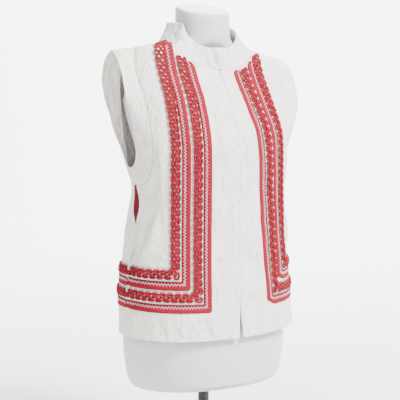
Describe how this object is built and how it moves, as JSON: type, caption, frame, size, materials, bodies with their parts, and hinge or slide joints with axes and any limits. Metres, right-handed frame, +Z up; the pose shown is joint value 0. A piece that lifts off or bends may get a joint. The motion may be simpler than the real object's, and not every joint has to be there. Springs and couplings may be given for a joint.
{
  "type": "folk vest on a dress form",
  "caption": "Sleeveless folk vest in cream cloth with red looped braid and tape bands, stand collar and wide armhole bands, worn on a limbless dress form with a stand.",
  "frame": {"origin": "centre of the base plate's underside, on the floor", "axes": "+Z up; the wearer faces -Y; the wearer's left is +X"},
  "size_m": [0.4145, 0.28, 0.8731],
  "materials": {
    "cream_cloth": "matte woven cotton or linen",
    "red_braid": "matte wool braid and tape",
    "deep_red_cloth": "matte cloth",
    "white_form": "smooth, slight gloss",
    "black_metal": "satin"
  },
  "bodies": {
    "root": {"front_right": "cream_cloth", "front_left": "cream_cloth", "back": "cream_cloth", "collar": "cream_cloth", "armhole_band_right": "cream_cloth", "armhole_band_left": "cream_cloth", "side_gusset_right": "deep_red_cloth", "side_gusset_left": "deep_red_cloth", "neck_hook": "black_metal", "loop_braid_outer_right": "red_braid", "loop_braid_outer_left": "red_braid", "loop_braid_outer_back": "red_braid", "loop_braid_inner_right": "red_braid", "loop_braid_inner_left": "red_braid", "loop_braid_inner_back": "red_braid", "tape_outer_right": "red_braid", "tape_outer_left": "red_braid", "tape_outer_back": "red_braid", "tape_inner_right": "red_braid", "tape_inner_left": "red_braid", "tape_inner_back": "red_braid", "dress_form": "white_form", "stand_pole": "black_metal", "base_plate": "black_metal"}
  },
  "joints": []
}
